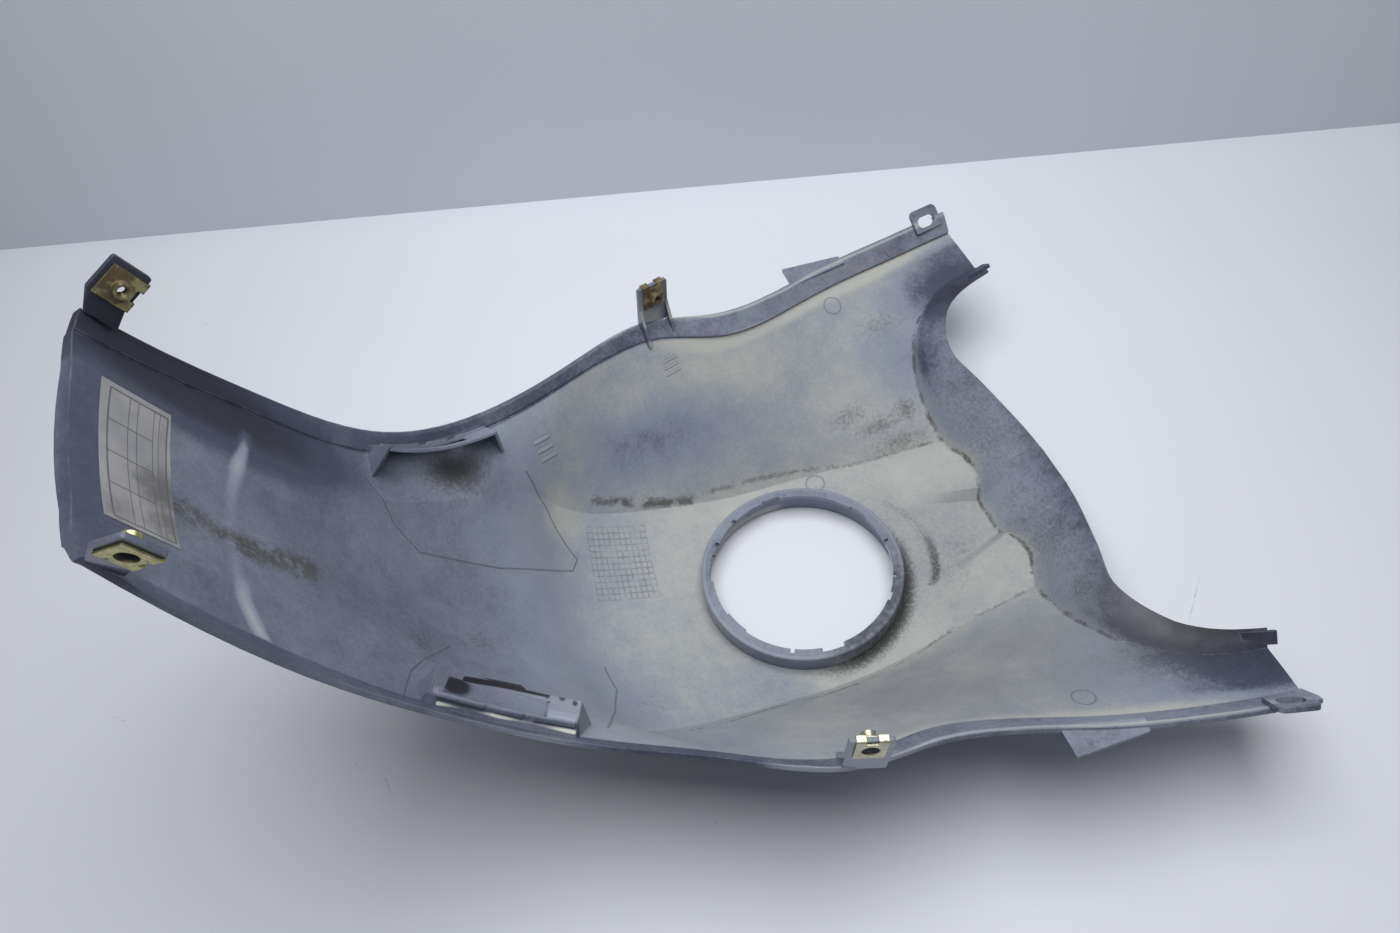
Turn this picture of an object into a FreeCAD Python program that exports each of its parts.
# Centre cover of a motorcycle fuel tank, as it lies on a table: painted side down, hollow side up.
# Origin: centre of the filler collar's rim. X runs to the two front arms, Z is up, millimetres.
import FreeCAD, Part, Sketcher
import os
import re
from FreeCAD import Matrix, Placement, Rotation, Vector

doc = FreeCAD.newDocument("tank_cover")
sheet = doc.addObject("Spreadsheet::Sheet", "sizes")
X, Y, Z = Vector(1, 0, 0), Vector(0, 1, 0), Vector(0, 0, 1)


def put(alias, value):
    """One named size, in a cell of its own."""
    put.row += 1
    sheet.set("A%d" % put.row, alias)
    sheet.set("B%d" % put.row, str(value))
    sheet.setAlias("B%d" % put.row, alias)


def put_table(places, columns, rows):
    for place, numbers in zip(places, rows):
        for column, number in zip(columns, numbers):
            put(place + "_" + column, number)


def val(alias):
    return float(sheet.get(alias))


def vec(place, *columns):
    return Vector(*[val(place + "_" + column) for column in columns])


put.row = 0

# The side edge of the shell, from the tail's end to the end of an arm. Each row is a place along it:
# the edge (x, half width y, z), where the floor turns into the side wall (half width, height over the
# floor) and how far the side wall bows out.
PLACES = ["tail_end", "tail_neck", "tail_upper", "throat", "shoulder", "hip", "clip", "waist", "brow",
          "arm_start", "arm_end"]
put_table(PLACES, ["edge_x", "edge_y", "edge_z", "floor_half", "floor_rise", "side_bow"], [
    (-316.0, 70.6, 306.0, 40.0, 2.2, -0.3),
    (-299.4, 76.7, 266.0, 43.0, 3.0, -0.6),
    (-272.0, 85.0, 212.2, 46.0, 4.0, -1.2),
    (-222.0, 96.2, 143.8, 54.0, 9.5, -3.0),
    (-164.0, 119.5, 111.5, 70.0, 24.0, -1.0),
    (-100.0, 148.2, 101.0, 85.0, 29.0, 1.0),
    (-42.0, 171.0, 92.5, 82.0, 10.0, 1.0),
    (5.0, 170.2, 81.6, 81.0, 3.5, 1.0),
    (92.0, 192.2, 72.0, 71.5, 8.3, 3.5),
    (150.0, 206.6, 67.0, 64.5, 11.0, 5.0),
    (208.0, 217.5, 65.6, 62.0, 8.0, 5.0),
])

# The flange that turns up round the steering head. Each row: its root on the shell (x, y) and its free
# edge (x, y, z), from the middle of the cover to the inner corner of an arm.
BROW = ["valley", "ridge", "pad", "corner", "cheek", "notch", "inner", "reach", "hook"]
put_table(BROW, ["root_x", "root_y", "lip_x", "lip_y", "lip_z"], [
    (141.0, 14.5, 184.0, 15.0, 21.0),
    (143.0, 20.5, 182.5, 23.0, 22.7),
    (147.0, 36.0, 179.0, 37.0, 26.1),
    (137.0, 65.8, 169.5, 68.0, 34.0),
    (134.0, 95.0, 161.0, 92.0, 40.5),
    (141.0, 125.0, 160.5, 113.0, 43.5),
    (165.0, 155.0, 175.0, 141.0, 45.5),
    (193.0, 169.0, 200.0, 157.0, 45.5),
    (215.0, 174.0, 221.0, 164.0, 45.0),
])

# Notches in the lip of the collar: where each starts and how far it runs (degrees from X), and its depth.
NOTCHES = [(83, 11.6, 1.5), (117, 3, 2), (137.5, 3, 2.5), (147, 20, 1.6), (-120, 2.6, 2.8), (-100.7, 13.7, 2.8),
           (-45, 7.4, 1.5), (-28, 3, 2), (-2.4, 3, 2.8), (21.3, 12.8, 1)]

# Beads on a side cover's ledge and the opening in it: where each starts and ends, as shares of its length.
BEADS = [(0.03, 0.36), (0.44, 0.62), (0.7, 0.97)]
LEDGE_OPENING = (0.07, 0.79)

for alias, value in [
        ("wall", 2.8),                  # thickness of the moulding
        ("deck_depth", 17.0),           # floor round the filler, below the collar's rim
        ("deck_back", 67.0),            # how far behind the filler the floor starts to rise
        ("tail_floor_x", -322.5), ("tail_floor_z", 303.0), ("tail_lean", 68.0),
        ("tail_pull", 200.0), ("deck_pull", 100.0),
        ("tail_flange", 8.2), ("tail_corner_flange", 4.2),
        # two raised pads in front of the filler: foot and crest of their inner sides, as shares of the
        # floor's half width where they start, and their height at the flange
        ("valley_share", 0.42), ("ridge_share", 0.5), ("ridge_height", 8.0),
        ("flange_bow", 2.5),
        # the edge: a step, a band on which the side trim lies, and a narrow lip
        ("edge_lip", 3.0), ("edge_lip_angle", 25.0),
        ("tail_band_width", 8.0), ("tail_band_angle", 18.0), ("tail_band_step", 0.8),
        ("mid_band_width", 9.6), ("mid_band_angle", 47.0), ("mid_band_step", 0.9), ("mid_band_lead", 120.5),
        ("arm_band_width", 13.0), ("arm_band_angle", 44.0), ("arm_band_step", 2.4),
        # filler collar
        ("collar_radius", 67.5), ("bore_radius", 63.8), ("collar_lip_reach", 3.8), ("collar_lip_thick", 3.0),
        ("collar_round", 1.2), ("stop_depth", 1.3), ("stop_start", -167.0), ("stop_spread", 16.0),
        ("island_radius", 89.0), ("island_height", 1.4), ("island_spread", 44.0),
        # carriers of the side covers: a ledge on the edge band between two gussets, on each side.
        # Places along the edge are measured from the tail's end.
        ("pad_rear", 181.0), ("pad_front", 258.0), ("pad_seat", 0.35), ("pad_sheet", 2.2), ("pad_root", 1.5),
        ("pad_rear_reach", 13.4), ("pad_rear_rise", 14.5), ("pad_front_reach", 14.9), ("pad_front_rise", 10.6),
        ("pad_rear_tip", 188.0), ("pad_rear_tip_share", 0.5),
        ("pad_front_tip", 286.0), ("pad_front_tip_share", 0.5), ("gusset_sheet", 2.0),
        ("pad_slot_from", 7.8), ("pad_slot_to", 15.4), ("pad_bead_at", 4.6), ("pad_bead_width", 3.0),
        ("pad_bead_height", 1.6),
        # tabs that carry the nuts. Each foot: place along the edge, then outwards from it and over it.
        ("mid_tab_at", 397.9), ("mid_tab_out", 0.15), ("mid_tab_over", 0.55),
        ("tail_tab_at", 10.3), ("tail_tab_out", -0.85), ("tail_tab_over", 2.5),
        ("tab_sheet", 2.5), ("tab_hole_radius", 4.2), ("tab_root", 2.2), ("tab_corner", 1.5),
        ("mid_tab_width", 23.0), ("mid_tab_height", 31.5), ("mid_rib_width", 2.2), ("mid_rib_height", 17.0),
        ("mid_rib_reach", 12.0), ("mid_rib_drop", 11.5), ("mid_rib_tip", 2.5), ("mid_rib_heel", 1.0),
        ("tail_tab_width", 17.0), ("tail_tab_height", 26.5), ("tail_tab_shift", 5.0), ("tail_tab_knee", 8.0),
        ("tail_tab_upper", 20.0), ("tail_tab_lean", 20.0), ("tail_hole_height", 15.5),
        # slide-on nuts: a folded strip with a threaded barrel
        ("nut_width", 16.0), ("nut_sheet", 1.0), ("nut_clearance", 0.25), ("nut_leg", 8.5), ("nut_reach", 9.0),
        ("barrel_radius", 4.0), ("barrel_length", 4.5), ("thread_radius", 2.5), ("nut_hole_radius", 4.6),
        ("nut_window", 6.0), ("nut_window_from", 2.0), ("nut_bend", 1.1),
        # tongue, slotted tab and hook on each arm, placed like the tabs; the hook on the flange's free edge
        ("tongue_at", 507.9), ("tongue_out", 1.65), ("tongue_over", -2.25),
        ("slot_tab_at", 635.0), ("slot_tab_out", -1.95), ("slot_tab_over", 0.2),
        ("hook_share", 0.62), ("hook_inset", 6.1), ("hook_sink", 1.2),
        ("tongue_sheet", 2.5), ("tongue_length", 47.6), ("tongue_root", 4.0), ("tongue_slant", 4.4),
        ("tongue_rear", 14.5), ("tongue_front", 4.0),
        ("slot_tab_sheet", 2.6), ("slot_tab_width", 24.0), ("slot_tab_reach", 10.5), ("slot_tab_root", 7.0),
        ("slot_tab_corner", 4.5), ("slot_length", 16.0), ("slot_width", 8.0),
        ("hook_length", 20.0), ("hook_width", 8.0), ("hook_height", 3.0),
        # label on the tail's floor
        ("label_from", 15.0), ("label_to", 52.5), ("label_half", 39.9), ("label_shift", 0.9), ("label_gap", 0.1),
        ("label_sheet", 0.25),
        ]:
    put(alias, value)
doc.recompute()


def spline(points, params=None):
    curve = Part.BSplineCurve()
    if params is None:
        curve.interpolate(Points=points)
    else:
        curve.interpolate(Points=points, Parameters=params)
    return curve


def mix(first, second, share):
    return first + (second - first) * share


def steps(first, second, count):
    return [mix(first, second, i / count) for i in range(count + 1)]


def even(count):
    return [i / count for i in range(count + 1)]


# Lines that carry the shell: the side edge with its shape, and the floor in the plane of symmetry.
edge_points = [vec(place, "edge_x", "edge_y", "edge_z") for place in PLACES]
edge_params = [0.0]
for first, second in zip(edge_points, edge_points[1:]):
    edge_params.append(edge_params[-1] + first.distanceToPoint(second))
edge_line = spline(edge_points, edge_params)
shape_line = spline([vec(place, "floor_half", "floor_rise", "side_bow") for place in PLACES], edge_params)
at_place = dict(zip(PLACES, edge_params))

tail_down = Rotation(Y, val("tail_lean")).multVec(X)
deck_start = Vector(-val("deck_back"), 0, -val("deck_depth"))
floor_start = Vector(val("tail_floor_x"), 0, val("tail_floor_z"))
floor_bend = Part.BezierCurve()
floor_bend.setPoles([floor_start, floor_start + tail_down * val("tail_pull"),
                     deck_start - X * val("deck_pull"), deck_start])


def band_size(name, param):
    """Size of the edge band: it changes towards the clip and again where the arm's rail starts."""
    tail, mid, arm = [val(part + "_band_" + name) for part in ("tail", "mid", "arm")]
    clip, waist = at_place["clip"], at_place["waist"]
    if param < clip:
        share = (param - at_place["tail_upper"]) / val("mid_band_lead")
        return mix(tail, mid, min(1.0, max(0.0, share)))
    return mix(mid, arm, min(1.0, (param - clip) / (waist - clip)))


class Section:
    """Cross-section of the shell, in the plane through an edge point and its foot on the floor line."""

    def __init__(self, param):
        self.at = param
        edge = edge_line.value(param)
        if edge.x < deck_start.x:
            self.foot = floor_bend.value(floor_bend.parameter(Vector(edge.x, 0, edge.z)))
        else:
            self.foot = Vector(edge.x, 0, deck_start.z)
        up = Vector(edge.x, 0, edge.z) - self.foot
        depth = up.Length
        self.up = up.normalize()
        shape = shape_line.value(param)
        self.floor_half, self.floor_rise, self.side_bow = shape.x, shape.y, shape.z
        tip = Vector(edge.y, depth, 0)
        lip = Rotation(Z, val("edge_lip_angle")).multVec(X) * val("edge_lip")
        turn = Rotation(Z, band_size("angle", param))
        band = turn.multVec(X) * band_size("width", param)
        step = turn.multVec(Vector(-1.0, -band_size("step", param), 0))
        # edge outline as (half width, height over the floor), from the side wall outwards
        self.rail = [tip - lip - band + step, tip - lip - band, tip - lip, tip]

    def place(self, half, height):
        return self.foot + Y * half + self.up * height

    def floor(self, half, hump=0.0):
        """A shallow dish; towards the steering head it becomes a valley between two pads."""
        dish = self.floor_rise * (half / self.floor_half) ** 2
        valley = mix(self.floor_half * val("valley_share"), val("valley_root_y"), hump)
        ridge = mix(self.floor_half * val("ridge_share"), val("ridge_root_y"), hump)
        if half <= valley:
            pad = 0.0
        elif half <= ridge:
            pad = val("ridge_height") * (half - valley) / (ridge - valley)
        else:
            share = (half - ridge) / (self.floor_half - ridge)
            pad = mix(val("ridge_height"), self.floor_rise, share)
        return mix(dish, pad, hump)

    def side(self, share):
        """Point of the side wall, from the floor (0) to the edge band (1)."""
        point = mix(Vector(self.floor_half, self.floor_rise, 0), self.rail[0], share)
        return point + Y * (4 * self.side_bow * share * (1 - share))

    def side_height(self, half):
        return self.side((half - self.floor_half) / (self.rail[0].x - self.floor_half)).y


def section_at_x(x):
    low, high = at_place["hip"], edge_params[-1] + 30
    for i in range(50):
        middle = (low + high) / 2
        low, high = (middle, high) if edge_line.value(middle).x < x else (low, middle)
    return Section(low)


ARM_SHARE = 0.72            # how much of the side wall ends at the steering head, the rest in the arm
SIDE_CUTS, ARM_CUTS, FRONT_ROWS, ARM_ROWS, FLANGE_ROWS = 4, 2, 3, 3, 3


def across(section):
    """Points of one cross-section, in strips from the middle to the edge."""
    valley, ridge = [section.floor_half * val(name) for name in ("valley_share", "ridge_share")]
    strips = [[section.place(half, section.floor(abs(half))) for half in steps(*cut, 2)] for cut in [
        (-valley, valley), (valley, ridge), (ridge, section.floor_half)]]
    for cut in [(0.0, ARM_SHARE, SIDE_CUTS), (ARM_SHARE, 1.0, ARM_CUTS)]:
        strips.append([section.place(*section.side(share)[:2]) for share in steps(*cut)])
    return strips + rail_strips(section)


def rail_strips(section):
    """Step, band and lip of the edge."""
    rail = [section.place(*point[:2]) for point in section.rail]
    return [list(pair) for pair in zip(rail, rail[1:])]


def by_strip(rows):
    """From rows of strips to strips of rows."""
    return [list(strip) for strip in zip(*rows)]


# Back of the shell: cross-sections from the tail's end to just in front of the filler.
brow, arm_start = PLACES.index("brow"), PLACES.index("arm_start")
back_params = [edge_params[0]]
for first, second in zip(edge_params[:brow], edge_params[1:brow + 1]):
    back_params += steps(first, second, 2)[1:]
back = by_strip([across(Section(param)) for param in back_params])
brow_x, arm_x, end_x = [edge_points[i].x for i in (brow, arm_start, -1)]

# Tail flange: the end of the tail turns outwards, less and less towards its corners.
end_section = Section(0.0)
corner = end_section.rail[-1].x


def flange_out(point):
    reach = mix(val("tail_flange"), val("tail_corner_flange"), (point.y / corner) ** 2)
    return point - end_section.up * reach


tail = [[[flange_out(point) for point in strip[0]], strip[0]] for strip in back]

# Front of the shell: rows that close in on the root of the flange, then the arm beside the opening.
roots = [Vector(val(place + "_root_x"), val(place + "_root_y"), 0) for place in BROW]
lips = [vec(place, "lip_x", "lip_y", "lip_z") for place in BROW]
first_curved, inner = BROW.index("corner"), BROW.index("inner")
roots[first_curved].y = section_at_x(roots[first_curved].x).floor_half
curved_share = even(len(BROW) - 1 - first_curved)
inner_share = curved_share[inner - first_curved]


def along_flange(points):
    """A line of the flange in strips: valley, ridge, pad, the curve to the arm, and the arm."""
    curve = spline(points[first_curved:], curved_share)
    return [
        steps(Vector(points[0].x, -points[0].y, points[0].z), points[0], 2),
        steps(points[0], points[1], 2),
        points[1:first_curved + 1],
        [curve.value(share) for share in steps(0.0, inner_share, SIDE_CUTS)],
        [curve.value(share) for share in steps(inner_share, 1.0, ARM_ROWS)],
    ]


def on_shell(plan, floor, hump=1.0):
    """Height of a plan point on the inner face, on the floor or on the side wall."""
    section = section_at_x(plan.x)
    half = abs(plan.y)
    if floor:
        height = section.floor(min(half, section.floor_half), hump)
    else:
        height = section.side_height(half)
    return Vector(plan.x, plan.y, section.foot.z + height)


def wall_end(x):
    """Plan point where the side wall meets the edge band."""
    return Vector(x, section_at_x(x).rail[0].x, 0)


root_plan = along_flange(roots)
arm_gate = steps(root_plan[3][-1], wall_end(arm_x), ARM_CUTS)


def front_strip(number, last_row):
    rows = [back[number][-1]]
    start = [Vector(point.x, point.y, 0) for point in rows[0]]
    for share in even(FRONT_ROWS)[1:]:
        plan = [mix(a, b, share) for a, b in zip(start, last_row)]
        if number == 2:             # strips 2 and 3 meet in the crease between floor and side wall
            plan[-1].y = section_at_x(plan[-1].x).floor_half
        if number == 3:
            plan[0].y = section_at_x(plan[0].x).floor_half
        if number == 4:
            plan[-1] = wall_end(plan[-1].x)
        rows.append([on_shell(point, number < 3, share) for point in plan])
    return rows


front = [front_strip(number, line) for number, line in enumerate(root_plan[:4] + [arm_gate])]
front += by_strip([rail_strips(section_at_x(x)) for x in steps(brow_x, arm_x, FRONT_ROWS)])

arm_plan = [steps(first, wall_end(x), ARM_CUTS)
            for first, x in zip(root_plan[4], steps(arm_x, end_x, ARM_ROWS))]
arm = [[[on_shell(point, False) for point in row] for row in arm_plan]]
arm += by_strip([rail_strips(section_at_x(x)) for x in steps(arm_x, end_x, ARM_ROWS)])

# The flange itself, from its root to its free edge, with a slight roll.
flange_roots = [strip[-1] for strip in front[:4]] + [[row[0] for row in arm[0]]]


def flange_point(root, lip, share):
    roll = (lip - root).normalize().cross(Y)
    return mix(root, lip, share) + roll * (4 * val("flange_bow") * share * (1 - share))


flange = [[[flange_point(a, b, share) for a, b in zip(root_line, lip_line)] for share in even(FLANGE_ROWS)]
          for root_line, lip_line in zip(flange_roots, along_flange(lips))]


def mirror(rows):
    return [[Vector(point.x, -point.y, point.z) for point in reversed(row)] for row in rows]


def lay(rows, params):
    """Spline surface through a grid of points. Grids that share a border get the same border curve."""
    across_rows = [spline(row, even(len(row) - 1)) for row in rows]
    along = [spline(list(column), params) for column in zip(*[curve.getPoles() for curve in across_rows])]
    surface = Part.BSplineSurface()
    surface.buildFromPolesMultsKnots(
        [list(poles) for poles in zip(*[curve.getPoles() for curve in along])],
        along[0].getMultiplicities(), across_rows[0].getMultiplicities(),
        along[0].getKnots(), across_rows[0].getKnots(),
        False, False, along[0].Degree, across_rows[0].Degree)
    return surface


def key(point):
    return (round(point.x, 3), round(point.y, 3), round(point.z, 3))


back_share = [param / back_params[-1] for param in back_params]
hip_share = at_place["hip"] / back_params[-1]
grids = []
for strips, params, cuts in [(tail, even(1), []), (back, back_share, [hip_share]), (front, even(FRONT_ROWS), []),
                             (arm, even(ARM_ROWS), []), (flange, even(FLANGE_ROWS), [])]:
    for strip in strips:
        grids.append((strip, params, cuts))
        if strip[0][0].y >= 0:      # all but the strips that cross the middle
            grids.append((mirror(strip), params, cuts))


def pieces(surface, cuts):
    """The surface as faces, parted at the cuts along its length."""
    ends = [0.0] + cuts + [1.0]
    parted = []
    for first, last in zip(ends, ends[1:]):
        piece = surface.copy()
        if cuts:
            piece.segment(first, last, 0.0, 1.0)
        parted.append(piece.toShape())
    return parted


# Inner skin, and the outer skin one wall below it.
inner_skin = [lay(rows, params) for rows, params, cuts in grids]
normals = {}
for surface, (rows, params, cuts) in zip(inner_skin, grids):
    for i, row in enumerate(rows):
        for j, point in enumerate(row):
            normals.setdefault(key(point), []).append(surface.normal(params[i], j / (len(row) - 1)))


def outer_point(point):
    """The point one wall away from every face that meets in this point."""
    shift = Vector()
    for i in range(80):
        for normal in normals[key(point)]:
            shift += normal * (val("wall") - normal.dot(shift))
    return point - shift


outer_rows = [[[outer_point(point) for point in row] for row in rows] for rows, params, cuts in grids]
faces = []
for surface, rows, (_, params, cuts) in zip(inner_skin, outer_rows, grids):
    faces += pieces(surface, cuts) + pieces(lay(rows, params), cuts)


def borders(rows, params, cuts):
    width = even(len(rows[0]) - 1)
    return [(rows[0], width, []), (rows[-1], width, []),
            ([row[0] for row in rows], params, cuts), ([row[-1] for row in rows], params, cuts)]


# A border that only one face has is a free edge: a narrow face closes it.
border_use = {}
for (rows, params, cuts), outer in zip(grids, outer_rows):
    outer_borders = borders(outer, params, cuts)
    for (line, places, line_cuts), (outer_line, _, _) in zip(borders(rows, params, cuts), outer_borders):
        ends = tuple(sorted([key(line[0]), key(line[-1])]))
        border_use.setdefault(ends, []).append((line, outer_line, places, line_cuts))
for uses in border_use.values():
    if len(uses) == 1:
        line, outer_line, places, line_cuts = uses[0]
        rim = lay([list(pair) for pair in zip(line, outer_line)], places)
        faces += pieces(rim, line_cuts)

skin = Part.makeShell(faces)
skin.sewShape()
shell = Part.makeSolid(skin)
if shell.Volume < 0:
    shell.reverse()


def feature(name, shape):
    thing = doc.addObject("Part::Feature", name)
    thing.Shape = shape
    return thing


def both_sides(shape):
    return [shape, shape.mirror(Vector(), Y)]


skin_part = feature("skin", shell)

# Carriers of the side covers.
def ledge_line(share):
    """Seat of the ledge on the edge band and its free end, in the section at a share of its length."""
    section = Section(mix(val("pad_rear"), val("pad_front"), share))
    seat = mix(section.rail[1], section.rail[2], val("pad_seat"))
    reach = mix(val("pad_rear_reach"), val("pad_front_reach"), share)
    rise = mix(val("pad_rear_rise"), val("pad_front_rise"), share)
    return section, seat, seat + Vector(-reach, rise, 0)


def ledge_strip(first, last, from_seat, to_free, low, high, cuts=4):
    """Part of the ledge between two shares of its length, two distances from its seat and two heights."""
    wires = []
    for share in steps(first, last, cuts):
        section, seat, free = ledge_line(share)
        width = (free - seat).Length if to_free is None else to_free
        out = (free - seat).normalize()
        up = Vector(out.y, -out.x, 0)
        corners = [seat + out * a + up * b
                   for a, b in [(from_seat, low), (width, low), (width, high), (from_seat, high)]]
        wires.append(Part.makePolygon([section.place(*corner[:2]) for corner in corners + corners[:1]]))
    return Part.makeLoft(wires, True, False)


def gusset(share, tip_at, tip_share, side):
    """Triangular plate from the ledge's corner down the side wall to its tip."""
    section, seat, free = ledge_line(share)
    seat, corner = section.place(*seat[:2]), section.place(*free[:2])

    def on_wall(param, height):
        wall_section = Section(param)
        return wall_section.place(*wall_section.side(height)[:2])

    tip = on_wall(tip_at, tip_share)
    normal = (tip - seat).cross(corner - seat).normalize()
    root = (tip - seat).cross(normal).normalize()
    if root.dot(corner - seat) > 0:
        root = root * -1
    foot = [tip]
    for height in steps(tip_share, 1.0, 3)[1:]:
        low, high = section.at - 60, section.at + 60
        slope = (on_wall(high, height) - on_wall(low, height)).dot(normal)
        for i in range(40):
            middle = (low + high) / 2
            ahead = (on_wall(middle, height) - seat).dot(normal) * slope > 0
            low, high = (low, middle) if ahead else (middle, high)
        foot.append(on_wall(low, height))
    foot.append(seat)
    points = [corner] + [point + root * val("pad_root") for point in foot]
    return Part.Face(Part.makePolygon(points + points[:1])).extrude(normal * (side * val("gusset_sheet")))


sheet_low = -val("pad_sheet")
pad = ledge_strip(0.0, 1.0, -val("pad_root"), None, sheet_low, 0.0)
slot = ledge_strip(*LEDGE_OPENING, val("pad_slot_from"), val("pad_slot_to"), sheet_low - 1, 1.0)
beads = [ledge_strip(*bead, val("pad_bead_at"), val("pad_bead_at") + val("pad_bead_width"), -0.5,
                     val("pad_bead_height"), 2) for bead in BEADS]
gussets = [gusset(0.0, val("pad_rear_tip"), val("pad_rear_tip_share"), 1),
           gusset(1.0, val("pad_front_tip"), val("pad_front_tip_share"), 1)]
carrier = feature("side_cover_carriers", Part.makeCompound(both_sides(pad.cut(slot).fuse(beads + gussets))))


# Flat plates of the moulding and the nuts: bodies with sketches bound to the sheet.
def origin_plane(body, role):
    return [part for part in body.Origin.OriginFeatures if part.Role == role][0]


def new_sketch(body, role, lift=None):
    sketch = body.newObject("Sketcher::SketchObject", body.Name + "_sketch")
    sketch.AttachmentSupport = [(origin_plane(body, role), "")]
    sketch.MapMode = "FlatFace"
    if lift:
        sketch.setExpression("AttachmentOffset.Base.z", lift)
    return sketch


def bind(sketch, kind, *geometry, size):
    """A dimension of the sketch that follows the sheet."""
    number = sketch.addConstraint(Sketcher.Constraint(kind, *geometry, float(sketch.evalExpression(size))))
    sketch.setExpression("Constraints[%d]" % number, size)


def outline(sketch, corners):
    """Closed outline through corners, each given by two formulas of sheet sizes."""
    spots = [Vector(float(sketch.evalExpression(x)), float(sketch.evalExpression(y)), 0) for x, y in corners]
    for i, spot in enumerate(spots):
        sketch.addGeometry(Part.LineSegment(spot, spots[(i + 1) % len(spots)]))
    for i, (x, y) in enumerate(corners):
        sketch.addConstraint(Sketcher.Constraint("Coincident", i, 2, (i + 1) % len(spots), 1))
        bind(sketch, "DistanceX", -1, 1, i, 1, size=x)
        bind(sketch, "DistanceY", -1, 1, i, 1, size=y)


def circle(sketch, x, y, radius):
    places = [float(sketch.evalExpression(text)) for text in (x, y, radius)]
    number = sketch.addGeometry(Part.Circle(Vector(*places[:2], 0), Z, places[2]))
    bind(sketch, "DistanceX", -1, 1, number, 3, size=x)
    bind(sketch, "DistanceY", -1, 1, number, 3, size=y)
    bind(sketch, "Radius", number, size=radius)


def grow(body, kind, sketch, length, midplane=False, reverse=False):
    """Pad or pocket of a sketch."""
    part = body.newObject("PartDesign::" + kind, body.Name + "_" + kind.lower())
    part.Profile = sketch
    part.setExpression("Length", length)
    part.Midplane = midplane
    part.Reversed = reverse
    doc.recompute()
    return part


def round_corners(body, chosen, radius):
    """Fillet on the edges of the body's last feature that the test picks."""
    last = body.Tip
    names = ["Edge%d" % (i + 1) for i, edge in enumerate(last.Shape.Edges) if chosen(edge)]
    fillet = body.newObject("PartDesign::Fillet", body.Name + "_fillet")
    fillet.Base = (last, names)
    fillet.setExpression("Radius", radius)
    doc.recompute()


def frame(origin, width, height):
    """Placement whose X runs along the width and whose Y runs along the height."""
    x = Vector(width).normalize()
    z = x.cross(height).normalize()
    y = z.cross(x)
    return Placement(Matrix(x.x, y.x, z.x, origin.x, x.y, y.y, z.y, origin.y, x.z, y.z, z.z, origin.z, 0, 0, 0, 1))


def along_z(edge):
    direction = edge.Vertexes[-1].Point - edge.Vertexes[0].Point
    return len(edge.Vertexes) == 2 and direction.Length > 0 and abs(direction.z) > 0.99 * direction.Length


def plate(name, corners, sheet_size, placement, hole=None, rounded=None, radius=None):
    """Flat plate of the moulding, half its thickness on each side of its own plane."""
    body = doc.addObject("PartDesign::Body", name)
    sketch = new_sketch(body, "XY_Plane")
    outline(sketch, corners)
    grow(body, "Pad", sketch, sheet_size, midplane=True)
    if rounded:
        round_corners(body, lambda edge: along_z(edge) and rounded(edge.Vertexes[0].Point), radius)
    if hole:
        hole_sketch = new_sketch(body, "XY_Plane")
        hole(hole_sketch)
        solid = body.Tip.Shape.Volume
        grow(body, "Pocket", hole_sketch, sheet_size + " * 2", midplane=True)
        assert body.Tip.Shape.Volume < solid
    body.Placement = placement
    return body


def sized(*texts):
    """Formulas in which each name of a size gets the sheet's name in front."""
    return [re.sub("[a-z_]+", lambda name: "sizes." + name.group(), text) for text in texts]


def outline_of(*texts):
    sized_texts = sized(*texts)
    return list(zip(sized_texts[::2], sized_texts[1::2]))


def tab_top(point):
    return point.y > val("tail_tab_knee") + 1


def nut_hole(across_by, height):
    return lambda sketch: circle(sketch, *sized(across_by, height, "tab_hole_radius"))


def add_ribs(body):
    """Two ribs that stay the tab on the edge band."""
    for side in ("", "-"):
        sketch = new_sketch(body, "YZ_Plane", side + "(sizes.mid_tab_width - sizes.mid_rib_width) / 2")
        outline(sketch, outline_of(
            "mid_rib_height", "0", "0 - mid_rib_drop", "mid_rib_reach",
            "0 - mid_rib_drop", "mid_rib_reach - mid_rib_tip", "0 - tab_root - mid_rib_heel", "2 * mid_rib_heel",
            "0 - tab_root", "0"))
        grow(body, "Pad", sketch, "sizes.mid_rib_width", midplane=True)


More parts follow.
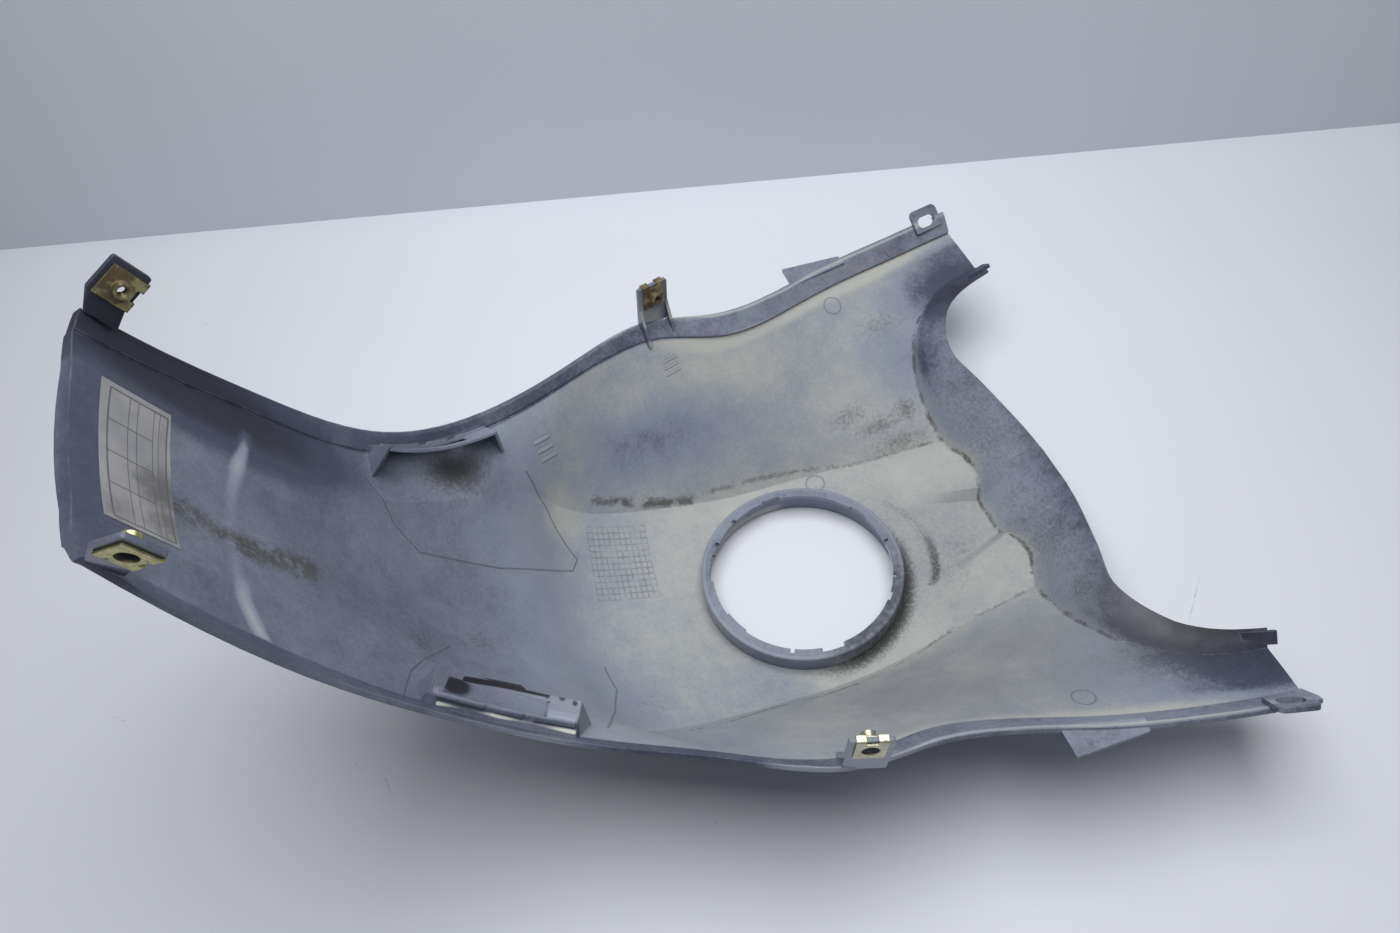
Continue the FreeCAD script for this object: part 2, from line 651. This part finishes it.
def nut(name, place):
    """Slide-on nut. The origin is the middle of its hole, in the middle of the tab that it grips."""
    body = doc.addObject("PartDesign::Body", name)
    body.Label = name
    sketch = new_sketch(body, "YZ_Plane")
    gap, top = "tab_sheet / 2 + nut_clearance", "nut_reach + nut_clearance"
    back = gap + " + nut_sheet"
    outline(sketch, outline_of(
        "0 - nut_leg", "0 - ( " + back + " )", top + " + nut_sheet", "0 - ( " + back + " )",
        top + " + nut_sheet", back, "0 - nut_leg", back, "0 - nut_leg", gap, top, gap,
        top, "0 - ( " + gap + " )", "0 - nut_leg", "0 - ( " + gap + " )"))
    grow(body, "Pad", sketch, "sizes.nut_width", midplane=True)
    bend = val("nut_reach") + val("nut_clearance") + val("nut_sheet") - 0.01
    round_corners(body, lambda edge: all(vertex.Point.y > bend for vertex in edge.Vertexes)
                  and abs(edge.Vertexes[0].Point.z - edge.Vertexes[-1].Point.z) < 0.01, "sizes.nut_bend")
    window = new_sketch(body, "XY_Plane")
    low, high = "nut_reach - nut_window_from", "nut_reach + nut_clearance + nut_sheet * 2"
    outline(window, outline_of("0 - nut_window / 2", low, "nut_window / 2", low,
                               "nut_window / 2", high, "0 - nut_window / 2", high))
    grow(body, "Pocket", window, "sizes.nut_width", midplane=True)
    barrel = new_sketch(body, "XY_Plane", "sizes.tab_sheet / 2 + sizes.nut_clearance")
    circle(barrel, "0", "0", "sizes.barrel_radius")
    grow(body, "Pad", barrel, "sizes.barrel_length + sizes.nut_sheet")
    for radius, towards_barrel in [("sizes.thread_radius", True), ("sizes.nut_hole_radius", False)]:
        solid = body.Tip.Shape.Volume
        hole = new_sketch(body, "XY_Plane")
        circle(hole, "0", "0", radius)
        grow(body, "Pocket", hole, "sizes.barrel_length + sizes.nut_sheet * 2 + sizes.tab_sheet",
             reverse=towards_barrel)
        assert body.Tip.Shape.Volume < solid
    body.Placement = place
    return body


def mirrored(vector):
    return Vector(vector.x, -vector.y, vector.z)


def by_edge(name):
    """Foot of a tab, from its place along the edge and its offsets outwards and over the edge."""
    section = Section(val(name + "_at"))
    tip = section.rail[-1]
    return section.place(tip.x + val(name + "_out"), tip.y + val(name + "_over"))


plates, nuts, slots = [], [], []
for side, flip, sign in [("left", Vector, 1), ("right", mirrored, -1)]:
    # X of each frame is chosen so that Z, the plate's normal, points to the middle of the cover.
    foot, top = flip(by_edge("mid_tab")), flip(Vector(-3.5, -0.8, 32.0))
    along = flip(Vector(20.3, 6.2, -1.9)) * sign
    stand = frame(foot, along, top)
    mid_tab = plate("mid_tab_" + side, outline_of(
        "0 - mid_tab_width / 2", "0 - tab_root", "mid_tab_width / 2", "0 - tab_root",
        "mid_tab_width / 2", "mid_tab_height", "0 - mid_tab_width / 2", "mid_tab_height"),
        "sizes.tab_sheet", stand, nut_hole("0", "mid_tab_height - nut_reach"), tab_top, "sizes.tab_corner")
    add_ribs(mid_tab)
    plates.append(mid_tab)
    lift = Placement(Vector(0, val("mid_tab_height") - val("nut_reach"), 0), Rotation())
    nuts.append(nut("u_nut_mid_" + side, stand.multiply(lift)))

    # the tail's tab leans outwards and widens towards the tail's end; its nut slides on from the side
    lean = Rotation(X, val("tail_tab_lean"))
    end_up = end_section.up
    height = flip(end_up * lean.multVec(Y).y + Y * lean.multVec(Y).z)
    stand = frame(flip(by_edge("tail_tab")), Y.cross(end_up) * sign, height)
    near, far = "( tail_tab_upper / 2 - tail_tab_shift )", "( tail_tab_upper / 2 + tail_tab_shift )"
    if sign > 0:
        left, right, hole_x = "0 - " + far, near, near + " - nut_reach"
    else:
        left, right, hole_x = "0 - " + near, far, "nut_reach - " + near
    plates.append(plate("tail_tab_" + side, outline_of(
        "0 - tail_tab_width / 2", "0 - tab_root", "tail_tab_width / 2", "0 - tab_root",
        right, "tail_tab_knee", right, "tail_tab_height", left, "tail_tab_height", left, "tail_tab_knee"),
        "sizes.tab_sheet", stand, nut_hole(hole_x, "tail_hole_height"), tab_top, "sizes.tab_corner"))
    hole = Vector(sign * (val("tail_tab_upper") / 2 - val("tail_tab_shift") - val("nut_reach")),
                  val("tail_hole_height"), 0)
    nuts.append(nut("u_nut_tail_" + side, stand.multiply(Placement(hole, Rotation(Z, -90 * sign)))))

    along, out = flip(Vector(46.1, 11.3, -4.0)), flip(Vector(-3.0, 14.5, 0.4))
    plates.append(plate("tongue_" + side, outline_of(
        "0", "0 - tongue_root", "tongue_length", "0 - tongue_root", "tongue_length", "tongue_front",
        "tongue_slant", "tongue_rear"),
        "sizes.tongue_sheet", frame(flip(by_edge("tongue")), along, out)))
    slot_frame = frame(flip(by_edge("slot_tab")), flip(Vector(22, 5.2, -1.9)), flip(Vector(-1.1, 7.8, 7.15)))
    plates.append(plate("slot_tab_" + side, outline_of(
        "0 - slot_tab_width / 2", "0 - slot_tab_root", "slot_tab_width / 2", "0 - slot_tab_root",
        "slot_tab_width / 2", "slot_tab_reach", "0 - slot_tab_width / 2", "slot_tab_reach"),
        "sizes.slot_tab_sheet", slot_frame, None, lambda point: point.y > 0, "sizes.slot_tab_corner"))
    hook_foot = mix(lips[-2], lips[-1], val("hook_share")) + Vector(0, val("hook_inset"), -val("hook_sink"))
    plates.append(plate("hook_" + side, outline_of(
        "0 - hook_length / 2", "0 - hook_width / 2", "hook_length / 2", "0 - hook_width / 2",
        "hook_length / 2", "hook_width / 2", "0 - hook_length / 2", "hook_width / 2"),
        "sizes.hook_height", frame(flip(hook_foot), flip(Vector(1, 0.33, 0)), flip(Vector(0.1, -0.75, 0.6)))))

    # what the slots in the arm tabs take away, also from the edge under them
    slot_tool = plate("slot_" + side, outline_of(
        "0 - slot_length / 2", "0 - slot_width / 2", "slot_length / 2", "0 - slot_width / 2",
        "slot_length / 2", "slot_width / 2", "0 - slot_length / 2", "slot_width / 2"),
        "sizes.slot_tab_sheet * 5", slot_frame, None, lambda point: True, "sizes.slot_width / 2.05")
    slots.append(slot_tool)

# Filler collar: a tube on the deck with a lip inwards, whose edge is notched for the filler's trim.
collar = doc.addObject("PartDesign::Body", "collar")
profile = new_sketch(collar, "XZ_Plane")
foot, lip = "0 - deck_depth - wall / 2", "bore_radius - collar_lip_reach"
outline(profile, outline_of("bore_radius", foot, "collar_radius", foot, "collar_radius", "0", lip, "0",
                            lip, "0 - collar_lip_thick", "bore_radius", "0 - collar_lip_thick"))
turned = collar.newObject("PartDesign::Revolution", "collar_turned")
turned.Profile = profile
turned.ReferenceAxis = (profile, ["V_Axis"])
doc.recompute()
round_corners(collar, lambda edge: edge.BoundBox.ZMin > -0.1
              and edge.BoundBox.XLength > 2 * val("collar_radius") - 0.1, "sizes.collar_round")


def sector(name, radius, height, top, start, spread):
    """Part of a disc round the filler's axis."""
    disc = doc.addObject("Part::Cylinder", name)
    disc.setExpression("Radius", radius)
    disc.setExpression("Height", height)
    disc.setExpression("Placement.Base.z", "%s - (%s)" % (top, height))
    disc.Angle = spread
    disc.Placement.Rotation = Rotation(Z, start)
    return disc


lip = sized(lip)[0]
notches = [sector("notch_%d" % i, lip + " + %g" % depth, "sizes.collar_lip_thick + 0.5", "0.25", start, spread)
           for i, (start, spread, depth) in enumerate(NOTCHES)]
stop_sector = val("stop_start"), val("stop_spread")
stop = doc.addObject("Part::Cut", "collar_stop")
stop.Base = sector("stop_outer", lip + " + 0.5", "sizes.collar_lip_thick", "0", *stop_sector)
stop.Tool = sector("stop_inner", lip + " - sizes.stop_depth", "sizes.collar_lip_thick", "0", *stop_sector)
island = sector("island", "sizes.island_radius", "sizes.island_height + sizes.wall / 2",
                "sizes.island_height - sizes.deck_depth", -val("island_spread"), 2 * val("island_spread"))
bore = sector("bore", "sizes.bore_radius", "sizes.deck_depth * 2", "0", 0, 360)


def combine(kind, name, parts):
    thing = doc.addObject("Part::" + kind, name)
    if kind == "Cut":
        thing.Base, thing.Tool = parts
    else:
        thing.Shapes = parts
    return thing


opened = combine("Cut", "opened_skin", [combine("MultiFuse", "floored_skin", [skin_part, island]), bore])
moulding = combine("MultiFuse", "moulding", [opened, collar, stop, carrier] + plates)
cover = combine("Cut", "cover_shell", [moulding, combine("MultiFuse", "cutters", notches + slots)])
cover.Label = "cover_shell"


# Label on the tail's floor: a thin sheet that follows the dish.
def label_sheet(lift):
    rows = []
    for param in steps(val("label_from"), val("label_to"), 4):
        section = Section(param)
        rows.append([section.place(half, section.floor(half) + lift)
                     for half in steps(val("label_shift") - val("label_half"),
                                       val("label_shift") + val("label_half"), 2)])
    return rows


low, high = [label_sheet(val("label_gap") + lift) for lift in (0.0, val("label_sheet"))]
length = even(len(low) - 1)
label_faces = [lay(low, length).toShape(), lay(high, length).toShape()]
for (line, places, _), (other, _, _) in zip(borders(low, length, []), borders(high, length, [])):
    label_faces.append(lay([list(pair) for pair in zip(line, other)], places).toShape())
label_skin = Part.makeShell(label_faces)
label_skin.sewShape()
label = feature("label_sticker", Part.makeSolid(label_skin))
label.Label = "label_sticker"

doc.recompute()
nodes = [cover, label] + nuts
failed = [thing.Name for thing in doc.Objects if "Invalid" in thing.State or "Error" in thing.State]
failed += [node.Label for node in nodes if node.Shape.isNull() or not node.Shape.isValid()]
if failed:
    raise RuntimeError("not built: " + ", ".join(failed))
os.makedirs("parts", exist_ok=True)
for node in nodes:
    node.Shape.exportStep("parts/" + node.Label + ".step")
    print(node.Label, len(node.Shape.Solids), "solid,", round(node.Shape.Volume), "mm3")
